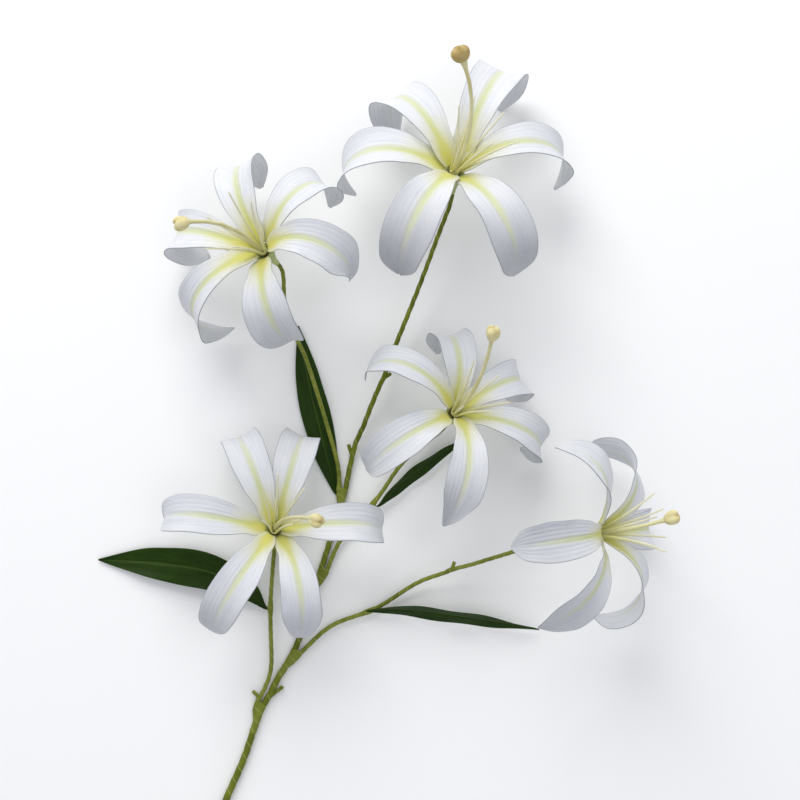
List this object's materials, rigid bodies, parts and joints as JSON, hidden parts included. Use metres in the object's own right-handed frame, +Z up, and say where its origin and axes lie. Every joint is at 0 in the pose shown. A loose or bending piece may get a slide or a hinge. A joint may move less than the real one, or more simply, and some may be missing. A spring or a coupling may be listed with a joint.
{
  "type": "cut lily",
  "caption": "Cut lily spray lying down: white recurved six-tepal flowers with bare filaments and long pistils on a branched green stem with narrow leaves.",
  "frame": {"origin": "centre of the bounding box in plan, on the surface that the spray lies on", "axes": "+Y along the stem from the cut end towards the highest flower, +X to the right seen from above, +Z up from the surface"},
  "size_m": [0.3506, 0.5278, 0.1102],
  "materials": {
    "tepal": "matte, soft white with a yellow-green midrib",
    "cup": "matte pale green",
    "filament": "satin cream yellow",
    "style": "satin cream",
    "stem": "olive green wrap over a wire, slightly waxy",
    "leaf": "dark green, slightly glossy"
  },
  "bodies": {
    "root": {"tepal_top_1": "tepal", "tepal_top_2": "tepal", "tepal_top_3": "tepal", "tepal_top_4": "tepal", "tepal_top_5": "tepal", "tepal_top_6": "tepal", "cup_top": "cup", "stamens_top": "filament", "pistil_top": "style", "tepal_left_1": "tepal", "tepal_left_2": "tepal", "tepal_left_3": "tepal", "tepal_left_4": "tepal", "tepal_left_5": "tepal", "tepal_left_6": "tepal", "cup_left": "cup", "stamens_left": "filament", "pistil_left": "style", "tepal_middle_1": "tepal", "tepal_middle_2": "tepal", "tepal_middle_3": "tepal", "tepal_middle_4": "tepal", "tepal_middle_5": "tepal", "tepal_middle_6": "tepal", "cup_middle": "cup", "stamens_middle": "filament", "pistil_middle": "style", "tepal_lower_1": "tepal", "tepal_lower_2": "tepal", "tepal_lower_3": "tepal", "tepal_lower_4": "tepal", "tepal_lower_5": "tepal", "tepal_lower_6": "tepal", "cup_lower": "cup", "stamens_lower": "filament", "pistil_lower": "style", "tepal_right_1": "tepal", "tepal_right_2": "tepal", "tepal_right_3": "tepal", "tepal_right_4": "tepal", "tepal_right_5": "tepal", "tepal_right_6": "tepal", "cup_right": "cup", "stamens_right": "filament", "pistil_right": "style", "main_stem": "stem", "stalk_left": "stem", "stalk_middle": "stem", "stalk_lower": "stem", "stalk_right": "stem", "leaf_left": "leaf", "leaf_middle": "leaf", "leaf_lower": "leaf", "leaf_right": "leaf"}
  },
  "joints": []
}
